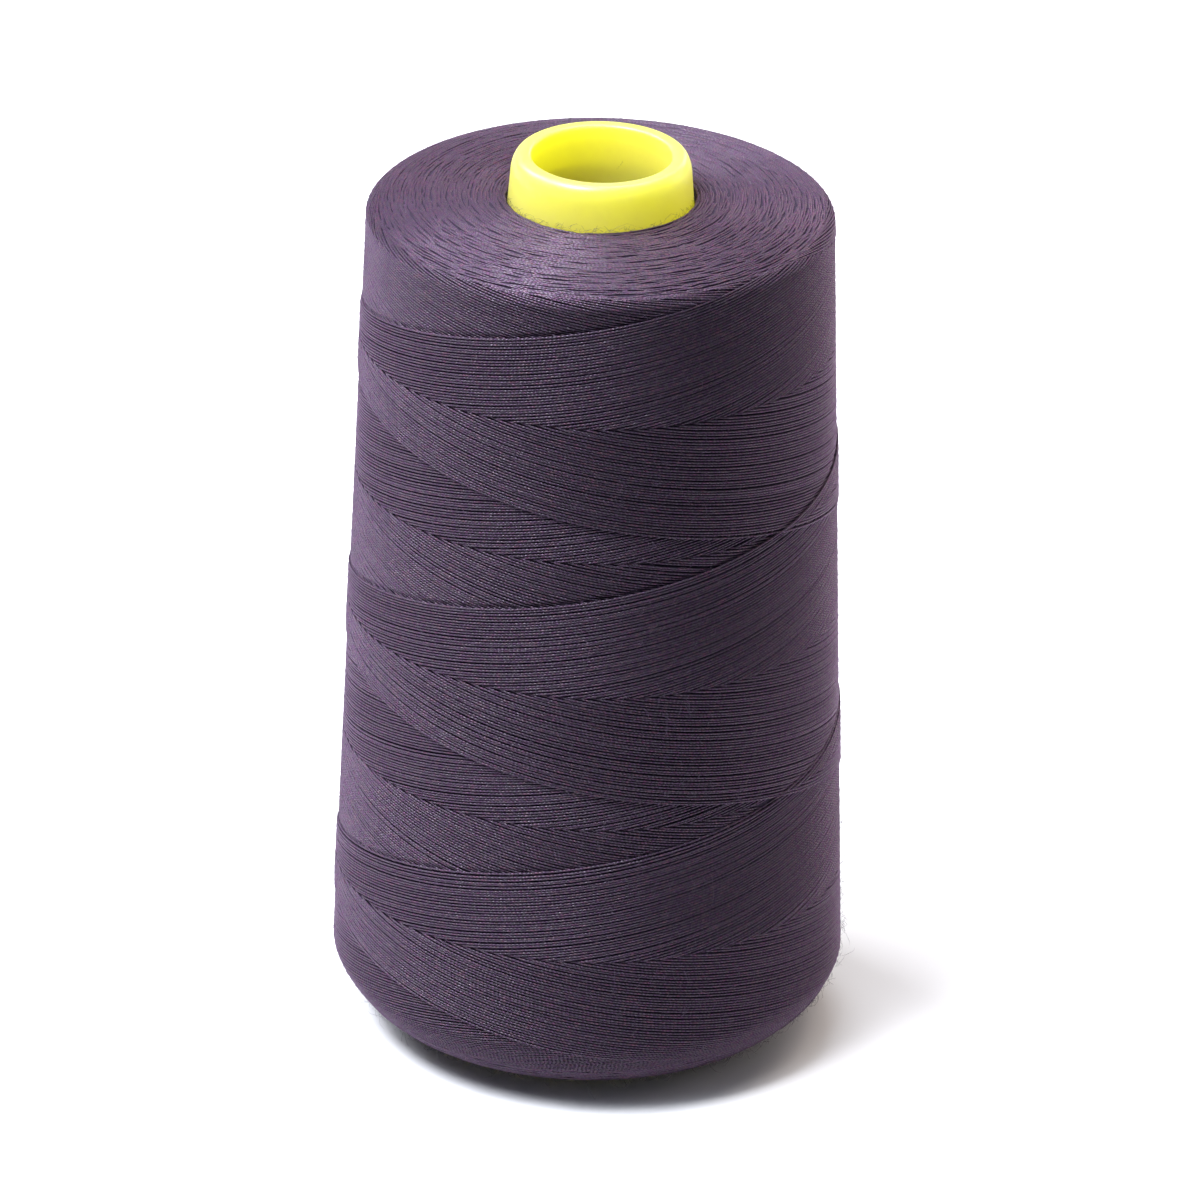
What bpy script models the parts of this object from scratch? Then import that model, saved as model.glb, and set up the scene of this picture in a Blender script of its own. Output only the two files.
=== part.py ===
"""A cone of sewing thread: a tapered plastic core and the thread cross-wound on it.

Metres, +Z up. The origin is the centre of the core's foot ring, on the surface that the cone
stands on. Azimuths are in degrees, 0 at the front (-Y) and growing towards +X. In the winding's
functions a height is counted from the winding's own base.
"""

import math

import bmesh
import bpy

# The core: one moulded, tapered tube, open at both ends.
CORE_HEIGHT = 0.1212
CORE_TOP_RADIUS = 0.0114
CORE_FOOT_RADIUS = 0.0209
CORE_TOP_WALL = 0.0024
CORE_FOOT_WALL = 0.0016
CORE_FOOT_ROUND = 0.0003

# The lip: a long soft round outside, as wide and as tall as these, and a small one to the bore.
CORE_LIP_WIDTH = 0.0011
CORE_LIP_DROP = 0.0023
CORE_BORE_ROUND = 0.0004
CORE_STEPS = 60
LIP_STEPS = 4

# The winding: every layer of thread, as one ring round the core.
WINDING_BASE = 0.0020
WINDING_SIDE = 0.1108
WINDING_TOP_RADIUS = 0.0300
WINDING_BASE_RADIUS = 0.0336
WINDING_STEPS = 120
CORE_CLEARANCE = 0.0003

# The domed top face, which meets the side in a fairly crisp shoulder. Its rings are shares of
# the way from the core to the shoulder.
DOME_RISE = 0.0028
DOME_FALL_POWER = 3.2
DOME_ROUND_POWER = 1.6
DOME_RINGS = (0.0, 0.4, 0.65, 0.82, 0.92, 0.98, 1.0)

# The wide round of the bottom edge, flatter than a quarter of a circle.
BASE_ROUND_WIDTH = 0.0071
BASE_ROUND_HEIGHT = 0.0080
BASE_ROUND_POWER = 1.39
BASE_ROUND_STEPS = 6

# How the thread is laid: strokes up and down the cone, each a helix of three whole turns. Each
# stroke lies a little to the left of the one before it. So the newest thread ends along two
# edges that cross, one that climbs and one that falls, and stands a layer proud at both.
LAY_BOTTOM = 0.00175
LAY_TOP = 0.11305
TURNS_PER_STROKE = 3
LAY_PITCH = (LAY_TOP - LAY_BOTTOM) / TURNS_PER_STROKE
NEWEST_AZIMUTH = 50.0
LAYER = 0.00035
EDGE_HALF_WIDTH = 0.0002
LEAST_ROW_GAP = 0.0002
RELIEF_FADE = 0.0040

CORE_COLOUR = (0.86, 0.76, 0.07, 1.0)
THREAD_COLOUR = (0.075, 0.055, 0.098, 1.0)
SHARP_ANGLE = 35.0


def clear_scene():
    for thing in list(bpy.data.objects):
        bpy.data.objects.remove(thing)


def material(name, colour, roughness):
    """A Principled BSDF material with no metal in it."""
    made = bpy.data.materials.new(name)
    made.use_nodes = True
    shader = made.node_tree.nodes["Principled BSDF"]
    shader.inputs["Base Color"].default_value = colour
    shader.inputs["Roughness"].default_value = roughness
    shader.inputs["Metallic"].default_value = 0.0
    return made


def core_outer_radius(height):
    """Radius of the core's outside at a height above the floor."""
    along = height / CORE_HEIGHT
    return CORE_FOOT_RADIUS + (CORE_TOP_RADIUS - CORE_FOOT_RADIUS) * along


def core_profile():
    """(radius, height) round the core's wall: down its outside, across its foot and up its bore."""
    top_bore = CORE_TOP_RADIUS - CORE_TOP_WALL
    foot_bore = CORE_FOOT_RADIUS - CORE_FOOT_WALL
    bore_round = CORE_BORE_ROUND
    lip_turns = [math.radians(90.0 * step / LIP_STEPS) for step in range(LIP_STEPS + 1)]
    points = []
    for turn in lip_turns:
        height = CORE_HEIGHT - CORE_LIP_DROP * (1.0 - math.cos(turn))
        radius = core_outer_radius(height) - CORE_LIP_WIDTH * (1.0 - math.sin(turn))
        points.append((radius, height))
    points.append((core_outer_radius(CORE_FOOT_ROUND), CORE_FOOT_ROUND))
    points.append((CORE_FOOT_RADIUS - CORE_FOOT_ROUND, 0.0))
    points.append((foot_bore + CORE_FOOT_ROUND, 0.0))
    points.append((foot_bore, CORE_FOOT_ROUND))
    for turn in lip_turns:
        radius = top_bore + bore_round - bore_round * math.cos(turn)
        points.append((radius, CORE_HEIGHT - bore_round + bore_round * math.sin(turn)))
    return points


def side_radius(height):
    """Radius of the winding's side before the crossing bands are raised on it."""
    along = height / WINDING_SIDE
    return WINDING_BASE_RADIUS + (WINDING_TOP_RADIUS - WINDING_BASE_RADIUS) * along


def dome_points(inner_radius):
    """(radius, height) over the top face, from the core out to the shoulder."""
    points = []
    for across in DOME_RINGS:
        rise = DOME_RISE * (1.0 - across**DOME_FALL_POWER) ** (1.0 / DOME_ROUND_POWER)
        radius = inner_radius + (WINDING_TOP_RADIUS - inner_radius) * across
        points.append((radius, WINDING_SIDE + rise))
    return points


def newest_edges(azimuth):
    """Heights, top to bottom, where the newest climbing and falling strokes pass an azimuth."""
    share = ((azimuth - NEWEST_AZIMUTH) / 360.0) % 1.0
    turns = [turn + share for turn in range(TURNS_PER_STROKE)]
    climbing = [LAY_BOTTOM + turn * LAY_PITCH for turn in turns]
    falling = [LAY_TOP - turn * LAY_PITCH for turn in turns]
    return sorted(climbing + falling, reverse=True)


def side_rows(azimuth):
    """Heights of the side's rows, top to bottom: one just above each edge and one just below."""
    rows = []
    for edge in newest_edges(azimuth):
        rows += [edge + EDGE_HALF_WIDTH, edge - EDGE_HALF_WIDTH]
    above = WINDING_SIDE
    for i, height in enumerate(rows):
        above = rows[i] = min(height, above - LEAST_ROW_GAP)
    below = BASE_ROUND_HEIGHT
    for i in reversed(range(len(rows))):
        below = rows[i] = max(rows[i], below + LEAST_ROW_GAP)
    return rows


def band_relief(azimuth, height):
    """How far the crossing bands stand out: most on the newest thread, least on the oldest."""
    share = (azimuth - NEWEST_AZIMUTH) / 360.0
    climbing_age = (share - (height - LAY_BOTTOM) / LAY_PITCH) % 1.0
    falling_age = (share - (LAY_TOP - height) / LAY_PITCH) % 1.0
    fade = max(0.0, min(1.0, height / RELIEF_FADE, (WINDING_SIDE - height) / RELIEF_FADE))
    return LAYER * fade * (1.0 - climbing_age - falling_age)


def base_round_points(azimuth):
    """(radius, height) round the bottom edge, from the side to the underside."""
    centre = side_radius(BASE_ROUND_HEIGHT) - BASE_ROUND_WIDTH
    points = []
    for step in range(BASE_ROUND_STEPS + 1):
        turn = math.radians(90.0 * step / BASE_ROUND_STEPS)
        outward = abs(math.cos(turn)) ** (2.0 / BASE_ROUND_POWER)
        height = BASE_ROUND_HEIGHT * (1.0 - math.sin(turn) ** (2.0 / BASE_ROUND_POWER))
        relief = band_relief(azimuth, height) * outward
        points.append((centre + BASE_ROUND_WIDTH * outward + relief, height))
    return points


def winding_section(azimuth):
    """(radius, height) round the winding's section: dome, side, bottom edge and underside."""
    top = WINDING_SIDE + DOME_RISE
    points = dome_points(core_outer_radius(WINDING_BASE + top) + CORE_CLEARANCE)
    for height in side_rows(azimuth):
        points.append((side_radius(height) + band_relief(azimuth, height), height))
    points += base_round_points(azimuth)
    points.append((core_outer_radius(WINDING_BASE) + CORE_CLEARANCE, 0.0))
    return points


def object_from(shape, name, look):
    """Turns a finished bmesh into a smooth-shaded object in the scene."""
    bmesh.ops.recalc_face_normals(shape, faces=shape.faces)
    mesh = bpy.data.meshes.new(name)
    shape.to_mesh(mesh)
    shape.free()
    mesh.materials.append(look)
    mesh.shade_smooth()
    mesh.set_sharp_from_angle(angle=math.radians(SHARP_ANGLE))
    thing = bpy.data.objects.new(name, mesh)
    bpy.context.scene.collection.objects.link(thing)
    return thing


def make_core():
    """The core's profile, spun once round the Z axis."""
    shape = bmesh.new()
    profile = [shape.verts.new((radius, 0.0, height)) for radius, height in core_profile()]
    edges = [shape.edges.new((profile[i - 1], profile[i])) for i in range(len(profile))]
    bmesh.ops.spin(
        shape,
        geom=profile + edges,
        cent=(0.0, 0.0, 0.0),
        axis=(0.0, 0.0, 1.0),
        angle=2.0 * math.pi,
        steps=CORE_STEPS,
        use_merge=True,
    )
    object_from(shape, "core", material("core_plastic", CORE_COLOUR, 0.35))


def make_winding():
    """One section at each azimuth, because the bands differ, each joined to the next."""
    shape = bmesh.new()
    sections = []
    for step in range(WINDING_STEPS):
        azimuth = 360.0 * step / WINDING_STEPS
        out_x = math.sin(math.radians(azimuth))
        out_y = -math.cos(math.radians(azimuth))
        section = winding_section(azimuth)
        sections.append([shape.verts.new((r * out_x, r * out_y, z)) for r, z in section])
    for here, there in zip(sections, sections[1:] + sections[:1]):
        for i in range(len(here)):
            shape.faces.new((here[i - 1], there[i - 1], there[i], here[i]))
    winding = object_from(shape, "winding", material("thread", THREAD_COLOUR, 0.85))
    winding.location = (0.0, 0.0, WINDING_BASE)


clear_scene()
make_core()
make_winding()
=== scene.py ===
# %% [markdown]
# # A cone of sewing thread, dressed
#
# The real object is two things: a tapered plastic core, and about four and a half kilometres of
# thread wound on it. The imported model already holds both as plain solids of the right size. This
# lesson gives them their looks: it lays the outermost threads one by one, moulds the core's lip,
# and gives each a finish. Lengths are in metres, azimuths in degrees, with 0 at the front (-Y)
# and growing towards +X.

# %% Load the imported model
import math

import bmesh
import bpy
import numpy as np
from mathutils import Matrix, Vector


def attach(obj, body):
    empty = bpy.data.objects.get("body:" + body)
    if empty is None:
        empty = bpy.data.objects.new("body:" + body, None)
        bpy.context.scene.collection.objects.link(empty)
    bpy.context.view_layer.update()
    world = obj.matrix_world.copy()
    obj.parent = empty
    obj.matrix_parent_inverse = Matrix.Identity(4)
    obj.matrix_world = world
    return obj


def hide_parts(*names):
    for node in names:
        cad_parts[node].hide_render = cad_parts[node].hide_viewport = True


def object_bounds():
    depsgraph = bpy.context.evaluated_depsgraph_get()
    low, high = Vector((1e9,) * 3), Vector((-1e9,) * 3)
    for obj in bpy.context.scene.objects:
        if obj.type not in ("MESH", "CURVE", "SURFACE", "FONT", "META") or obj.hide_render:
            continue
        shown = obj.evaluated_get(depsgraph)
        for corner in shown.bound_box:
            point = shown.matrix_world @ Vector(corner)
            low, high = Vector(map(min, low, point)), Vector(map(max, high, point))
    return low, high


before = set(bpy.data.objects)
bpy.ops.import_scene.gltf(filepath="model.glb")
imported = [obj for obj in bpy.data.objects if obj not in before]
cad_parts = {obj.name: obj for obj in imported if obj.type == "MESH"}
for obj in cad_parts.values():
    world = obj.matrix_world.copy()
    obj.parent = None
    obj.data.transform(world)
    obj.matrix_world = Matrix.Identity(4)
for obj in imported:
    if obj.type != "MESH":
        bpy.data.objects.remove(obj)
cad_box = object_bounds()
MM = 0.001
print("CAD box, mm:", [round(side / MM, 1) for side in cad_box[1] - cad_box[0]])

# %% [markdown]
# ## Camera
#
# The photograph was taken from well back with a long lens, looking down by about 25 degrees, so
# the sides of the cone hardly converge. A long lens is best copied as a long lens: the distance
# sets how much the far rim shrinks, and no shift or crop can fake that. The camera's slight roll
# is kept as well.

# %% Place the camera
SENSOR = 36.0
CAMERA_DISTANCE = 1.600
CAMERA_ELEVATION = math.radians(25.51)
CAMERA_ROLL = math.radians(1.098)
LENS = 371.0
NEAREST_SEEN = 0.1
AIM = Vector((0.00087, 0.0, 0.0583))

right = Vector((1.0, 0.0, 0.0))
view_line = Vector((0.0, math.cos(CAMERA_ELEVATION), -math.sin(CAMERA_ELEVATION)))
upward = right.cross(view_line)
rolled_right = right * math.cos(CAMERA_ROLL) + upward * math.sin(CAMERA_ROLL)
rolled_up = upward * math.cos(CAMERA_ROLL) - right * math.sin(CAMERA_ROLL)
camera_data = bpy.data.cameras.new("camera")
camera_data.sensor_width = SENSOR
camera_data.lens = LENS
camera_data.clip_start = NEAREST_SEEN
camera = bpy.data.objects.new("camera", camera_data)
bpy.context.scene.collection.objects.link(camera)
turned = Matrix((rolled_right, rolled_up, -view_line)).transposed().to_4x4()
camera.matrix_world = Matrix.Translation(AIM - view_line * CAMERA_DISTANCE) @ turned
bpy.context.scene.camera = camera
print("camera at", [round(c, 3) for c in camera.location], "lens", LENS)

# %% [markdown]
# ## Floor and light
#
# The cone stands on a pale sheet in front of a backdrop. The camera sees the sheet nearly white
# and the backdrop white, but what they throw back onto the cone is dimmer. A Light Path node
# tells the two apart. The sheet also stops close in front of the cone, so the side that faces
# the camera mirrors little light and stays dark, as in the photograph.
#
# Eight softboxes do the rest. The strongest hangs high at the front left and the next at the back
# left. Weaker ones hang left, behind, right, low down and high in front. Where they hang counts
# most: thread mirrors light in a narrow fan across its run, so threads that climb and threads
# that fall brighten at different places round the cone. The powers were weighed so that both
# families come close to the photograph round the side that it shows.

# %% Write helpers for materials


def new_material(name):
    """A material with nothing in it yet but its Principled BSDF and output."""
    made = bpy.data.materials.new(name)
    made.use_nodes = True
    return made, made.node_tree, made.node_tree.nodes["Principled BSDF"]


def add_node(tree, kind, inputs=(), **settings):
    """A node with its settings and its fixed values."""
    node = tree.nodes.new(kind)
    for key, value in settings.items():
        setattr(node, key, value)
    for key, value in dict(inputs).items():
        node.inputs[key].default_value = value
    return node


def maths(tree, operation, first, second=0.0):
    """A Math node of one or two values, each a socket or a number, and what it puts out."""
    node = tree.nodes.new("ShaderNodeMath")
    node.operation = operation
    for socket, value in zip(node.inputs, (first, second)):
        if isinstance(value, bpy.types.NodeSocket):
            tree.links.new(value, socket)
        else:
            socket.default_value = value
    return node.outputs[0]


# %% Make the floor
SHEET_LEFT, SHEET_RIGHT = -0.90, 0.90
SHEET_FRONT, SHEET_BACK = -0.14, 1.10
SHEET_SEEN = 0.98
SHEET_THROWS_BACK = 0.72
SHEET_ROUGHNESS = 0.9
SHEET_GLOSS = 0.1

floor_material, floor_tree, floor_shader = new_material("pale_sheet")
floor_seen = floor_tree.nodes.new("ShaderNodeLightPath")
floor_tone = add_node(floor_tree, "ShaderNodeMix", {2: SHEET_THROWS_BACK, 3: SHEET_SEEN})
floor_tree.links.new(floor_seen.outputs["Is Camera Ray"], floor_tone.inputs[0])
floor_tree.links.new(floor_tone.outputs[0], floor_shader.inputs["Base Color"])
floor_shader.inputs["Roughness"].default_value = SHEET_ROUGHNESS
floor_shader.inputs["Specular IOR Level"].default_value = SHEET_GLOSS

floor_shape = bmesh.new()
corners = (
    (SHEET_LEFT, SHEET_FRONT),
    (SHEET_RIGHT, SHEET_FRONT),
    (SHEET_RIGHT, SHEET_BACK),
    (SHEET_LEFT, SHEET_BACK),
)
floor_shape.faces.new([floor_shape.verts.new((x, y, 0.0)) for x, y in corners])
floor_mesh = bpy.data.meshes.new("floor")
floor_shape.to_mesh(floor_mesh)
floor_shape.free()
floor_mesh.materials.append(floor_material)
floor = bpy.data.objects.new("floor", floor_mesh)
bpy.context.scene.collection.objects.link(floor)
print("sheet:", SHEET_RIGHT - SHEET_LEFT, "by", round(SHEET_BACK - SHEET_FRONT, 2), "m")

# %% Make the backdrop
EVEN_LIGHT = 0.12
EVEN_TONE = (0.88, 0.97, 1.12, 1.0)
BACKDROP = 1.05
BACKDROP_TONE = (1.0, 1.0, 1.0, 1.0)

world = bpy.data.worlds.new("studio")
world.use_nodes = True
bpy.context.scene.world = world
sky = world.node_tree
straight = add_node(sky, "ShaderNodeLightPath")
shown = add_node(sky, "ShaderNodeMix", {2: EVEN_LIGHT, 3: BACKDROP})
sky.links.new(straight.outputs["Is Camera Ray"], shown.inputs[0])
sky.links.new(shown.outputs[0], sky.nodes["Background"].inputs["Strength"])
toned = add_node(sky, "ShaderNodeMix", {6: EVEN_TONE, 7: BACKDROP_TONE}, data_type="RGBA")
sky.links.new(straight.outputs["Is Camera Ray"], toned.inputs[0])
sky.links.new(toned.outputs[2], sky.nodes["Background"].inputs["Color"])
print("backdrop:", BACKDROP, "seen,", EVEN_LIGHT, "thrown back")

# %% Hang the softboxes
LAMP_DISTANCE = 1.2
LAMP_SIZE = 0.5
COOL = (0.91, 0.98, 1.11)
WHITE = (0.96, 0.99, 1.06)
WARM = (1.12, 0.98, 0.88)
LAMPS = (
    ("softbox_front_left", 300.0, 64.0, 22.0, WHITE),
    ("softbox_left", 270.0, 45.0, 2.4, WHITE),
    ("softbox_back_left", 240.0, 42.0, 10.0, WHITE),
    ("softbox_behind", 180.0, 64.0, 5.2, WHITE),
    ("softbox_low_behind", 150.0, 20.0, 3.2, WARM),
    ("softbox_right", 120.0, 64.0, 3.4, WARM),
    ("softbox_low_right", 115.0, 12.0, 2.0, WARM),
    ("softbox_high_front", 330.0, 64.0, 2.4, COOL),
)


def soft_lamp(name, azimuth, elevation, power, tone):
    """A square softbox, at an azimuth and an elevation, aimed at the middle of the cone."""
    data = bpy.data.lights.new(name, "AREA")
    data.shape = "SQUARE"
    data.size = LAMP_SIZE
    data.energy = power
    data.color = tone
    lamp = bpy.data.objects.new(name, data)
    bpy.context.scene.collection.objects.link(lamp)
    around = math.radians(azimuth)
    up = math.radians(elevation)
    level = math.cos(up)
    towards = Vector((math.sin(around) * level, -math.cos(around) * level, math.sin(up)))
    lamp.location = AIM + towards * LAMP_DISTANCE
    lamp.rotation_euler = towards.to_track_quat("Z", "Y").to_euler()


for name, azimuth, elevation, power, tone in LAMPS:
    soft_lamp(name, azimuth, elevation, power, tone)
bpy.context.scene.view_settings.view_transform = "Standard"
print("softboxes:", len(LAMPS), "with", round(sum(lamp[3] for lamp in LAMPS), 1), "W in all")

# %% [markdown]
# ## The shape of the winding
#
# The thread covers a cone: a domed top, a straight side and a wide round at the bottom edge.
# One number, here called the lay, says how far along that outline a point is. On the side it is
# very nearly the height above the winding's base. Over the shoulder it goes on growing towards
# the core, and round the bottom edge it runs on below zero.

# %% Sizes of the winding
WINDING_BASE = 2.0 * MM
SIDE_TOP = 110.8 * MM
TOP_RADIUS = 30.0 * MM
BASE_RADIUS = 33.6 * MM
DOME_RISE = 2.8 * MM
DOME_FALL_POWER = 3.2
DOME_ROUND_POWER = 1.6
ROUND_WIDTH = 7.1 * MM
ROUND_HEIGHT = 8.0 * MM
ROUND_POWER = 1.39
CORE_HEIGHT = cad_box[1].z
CORE_TOP_RADIUS = 11.4 * MM
CORE_FOOT_RADIUS = 20.9 * MM
CORE_GAP = 0.15 * MM
DOME_SAMPLES = 160
DOME_CROWDING = 2.2
SIDE_SAMPLES = 60
EDGE_SAMPLES = 80
UNDER_SAMPLES = 12


def core_outer_radius(height):
    """Radius of the core's outside at a height above the floor."""
    along = height / CORE_HEIGHT
    return CORE_FOOT_RADIUS + (CORE_TOP_RADIUS - CORE_FOOT_RADIUS) * along


def side_radius(height):
    """Radius of the winding's straight side at a height above its base."""
    return BASE_RADIUS + (TOP_RADIUS - BASE_RADIUS) * height / SIDE_TOP


def winding_outline():
    """Radii and heights down the outline, from the core over the dome to the underside."""
    inner_top = core_outer_radius(WINDING_BASE + SIDE_TOP + DOME_RISE) + CORE_GAP
    across = 1.0 - np.linspace(1.0, 0.0, DOME_SAMPLES) ** DOME_CROWDING
    rise = DOME_RISE * (1.0 - across**DOME_FALL_POWER) ** (1.0 / DOME_ROUND_POWER)
    dome = np.stack([inner_top + (TOP_RADIUS - inner_top) * across, SIDE_TOP + rise], 1)
    heights = np.linspace(SIDE_TOP, ROUND_HEIGHT, SIDE_SAMPLES)[1:-1]
    side = np.stack([side_radius(heights), heights], 1)
    turn = np.linspace(0.0, math.pi / 2.0, EDGE_SAMPLES)
    outward = np.abs(np.cos(turn)) ** (2.0 / ROUND_POWER)
    drop = np.sin(turn) ** (2.0 / ROUND_POWER)
    centre = side_radius(ROUND_HEIGHT) - ROUND_WIDTH
    edge = np.stack([centre + ROUND_WIDTH * outward, ROUND_HEIGHT * (1.0 - drop)], 1)
    inner_base = core_outer_radius(WINDING_BASE) + CORE_GAP
    inwards = np.linspace(centre, inner_base, UNDER_SAMPLES)[1:]
    under = np.stack([inwards, np.zeros(UNDER_SAMPLES - 1)], 1)
    return np.concatenate([dome, side, edge, under]), len(dome) - 1


print("winding:", round(2.0 * BASE_RADIUS / MM, 1), "mm across at the base")

# %% Measure the outline
outline, shoulder = winding_outline()
steps = np.diff(outline, axis=0)
run_down = np.concatenate([[0.0], np.cumsum(np.hypot(steps[:, 0], steps[:, 1]))])
OUTLINE_LAY = SIDE_TOP - (run_down - run_down[shoulder])
slope = np.gradient(outline, run_down, axis=0)
slope /= np.hypot(slope[:, 0], slope[:, 1])[:, None]
LAY_AT_CORE = OUTLINE_LAY[0]
LAY_UNDER = OUTLINE_LAY[-1]
print("lay runs from", round(LAY_UNDER / MM, 1), "to", round(LAY_AT_CORE / MM, 1), "mm")


def on_outline(values, lay):
    """Reads a value that is known at each point of the outline at any lay."""
    return np.interp(lay, OUTLINE_LAY[::-1], values[::-1])


def winding_point(azimuth, lay, lift):
    """Places on the winding, lifted along its normal, and those normals."""
    out = on_outline(-slope[:, 1], lay)
    up = on_outline(slope[:, 0], lay)
    radius = on_outline(outline[:, 0], lay) + out * lift
    height = on_outline(outline[:, 1], lay) + up * lift + WINDING_BASE
    east = np.sin(np.radians(azimuth))
    south = -np.cos(np.radians(azimuth))
    places = np.stack([radius * east, radius * south, height], -1)
    normals = np.stack([out * east, out * south, up], -1)
    return places, normals / np.linalg.norm(normals, axis=-1)[..., None]


# %% [markdown]
# ## How the thread is laid
#
# The winder guides the thread up and down while the cone turns, three turns to a stroke. Each
# stroke lands a little to the left of the one before. So at any place on the side the last
# climbing stroke and the last falling stroke passed at different times, and the newer of the two
# lies on top. That one rule makes the whole pattern of slanting wedges, so it is written as a
# rule here, and no wedge is drawn by hand. Just above the edge of the newest climbing band, the
# crossing threads dip into a shallow crevice, which gives the dark line along that edge.

# %% The rule of the lay
LAY_BOTTOM = 1.75 * MM
LAY_TOP = 113.05 * MM
TURNS = 3
PITCH = (LAY_TOP - LAY_BOTTOM) / TURNS
NEWEST_AZIMUTH = 50.0
STROKES = 96
LAYER = 0.22 * MM
THREAD_WIDE = 0.130 * MM
THREAD_HIGH = 0.140 * MM
RELIEF_FADE = 4.0 * MM
CREVICE = 0.20 * MM
CREVICE_AT = 0.28 * MM
CREVICE_WIDE = 0.30 * MM


def climbing_age(azimuth, lay):
    """0 on the newest climbing stroke at a place, growing to 1 on the oldest."""
    return ((azimuth - NEWEST_AZIMUTH) / 360.0 - (lay - LAY_BOTTOM) / PITCH) % 1.0


def falling_age(azimuth, lay):
    """0 on the newest falling stroke at a place, growing to 1 on the oldest."""
    return ((azimuth - NEWEST_AZIMUTH) / 360.0 - (LAY_TOP - lay) / PITCH) % 1.0


def with_edge(age):
    """An age whose jump from oldest to newest is a short ramp, one thread wide."""
    ramp = 1.0 / STROKES
    return np.where(age > 1.0 - ramp, (1.0 - age) / ramp * (1.0 - ramp), age)


def relief(azimuth, lay):
    """How far the newest bands stand out from the winding."""
    fade = np.clip(np.minimum(lay, SIDE_TOP - lay) / RELIEF_FADE, 0.0, 1.0)
    climbing = climbing_age(azimuth, lay)
    falling = falling_age(azimuth, lay)
    above_edge = (1.0 - climbing) * PITCH
    crevice = CREVICE * np.exp(-(((above_edge - CREVICE_AT) / CREVICE_WIDE) ** 2))
    return fade * (LAYER * (1.0 - with_edge(climbing) - with_edge(falling)) - crevice)


print("threads lie", round(PITCH / STROKES / MM, 3), "mm apart; pitch", round(PITCH / MM, 1), "mm")

# %% [markdown]
# ## The look of the thread
#
# Sewing thread is two thin yarns twisted round each other, so each thread shows a row of slanted
# grooves. They are far too fine to model, but not too fine to see as a sparkle, so they are a
# pattern that follows the thread: a map called Thread gives, at each place, how far along the
# thread it is and how far round it.
#
# The first group draws that twist. It puts out the height of the plies, how deep in a groove a
# place is, and how loose its fibres lie. The two flanks of a thread count as grooves too, since
# they lie in the shade between neighbours. The groove mask is painted shade: it darkens the colour
# of grooves and flanks, and makes them matt. Both thread materials use this group, and each weighs
# its outputs in its own way.

# %% Build the plied thread group
THREAD_MAP = "Thread"
BAKE_MAP = "OFBake"
TWIST_LENGTH = 1.06 * MM
RIDGE_POWER = 0.7
FLANK_POWER = 1.5
FIBRE_SCALE = (4.5, 4.0)
FIBRE_DEPTH = 1.2
# How much painted shade, and how much mattness, the flanks of a thread get.
FLANK_SHADE = 0.4
LOOSE_SCALE = (3.1, 2.0)
LOOSE_FROM = 0.44
LOOSE_GAIN = 5.0


def socket(group, name, way, kind="NodeSocketFloat", value=None):
    """A named input or output of a shader group."""
    made = group.interface.new_socket(name=name, in_out=way, socket_type=kind)
    if value is not None:
        made.default_value = value
    return made


def thread_place(tree):
    """How far along the thread a place is, and how far round it, from the thread's own map."""
    place = add_node(tree, "ShaderNodeUVMap", uv_map=THREAD_MAP)
    parts = tree.nodes.new("ShaderNodeSeparateXYZ")
    tree.links.new(place.outputs["UV"], parts.inputs["Vector"])
    return parts.outputs["X"], parts.outputs["Y"]


def thread_noise(tree, along, around):
    """Noise over the thread's map, read at a place along the thread and round it."""
    place = tree.nodes.new("ShaderNodeCombineXYZ")
    tree.links.new(along, place.inputs["X"])
    tree.links.new(around, place.inputs["Y"])
    fixed = {"Scale": 1.0, "Detail": 2.0}
    noise = add_node(tree, "ShaderNodeTexNoise", fixed, noise_dimensions="2D")
    tree.links.new(place.outputs["Vector"], noise.inputs["Vector"])
    return noise.outputs["Fac"]


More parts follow.
